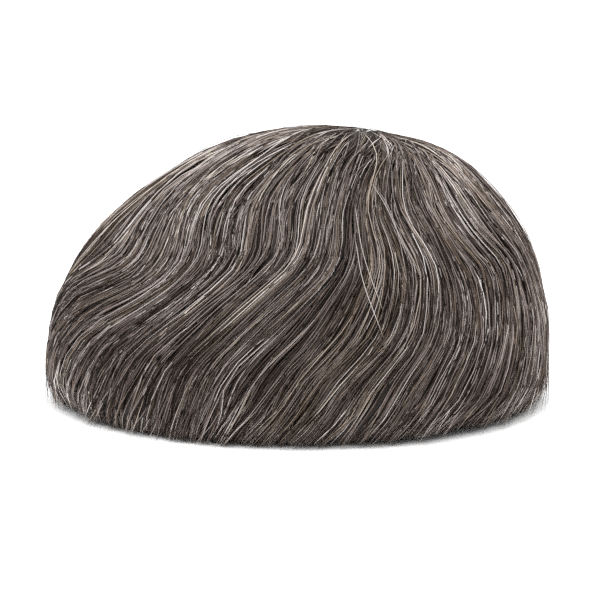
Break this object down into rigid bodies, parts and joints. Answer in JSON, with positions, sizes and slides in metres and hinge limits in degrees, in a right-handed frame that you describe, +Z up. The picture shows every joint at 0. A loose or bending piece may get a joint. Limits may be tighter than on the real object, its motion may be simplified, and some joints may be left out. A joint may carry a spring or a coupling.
{
  "type": "toupee hairpiece",
  "caption": "Short wavy salt-and-pepper hair on a thin oblong base cap, standing as a hollow dome on its hem, with a whorl behind the top.",
  "frame": {"origin": "middle of the floor under the hairpiece, as it lies on a table", "axes": "+Z up, -X towards the front hairline, +X towards the nape, -Y towards the wearer's left"},
  "size_m": [0.2259, 0.1758, 0.1239],
  "materials": {
    "base_net": "fine dark brown monofilament net, matt",
    "hair": "human hair, brown mixed with grey and white, soft sheen"
  },
  "bodies": {
    "root": {"base_cap": "base_net", "hair_crown": "hair", "hair_front": "hair", "hair_left_temple": "hair", "hair_left_side": "hair", "hair_nape": "hair", "hair_right_side": "hair", "hair_right_temple": "hair"}
  },
  "joints": []
}
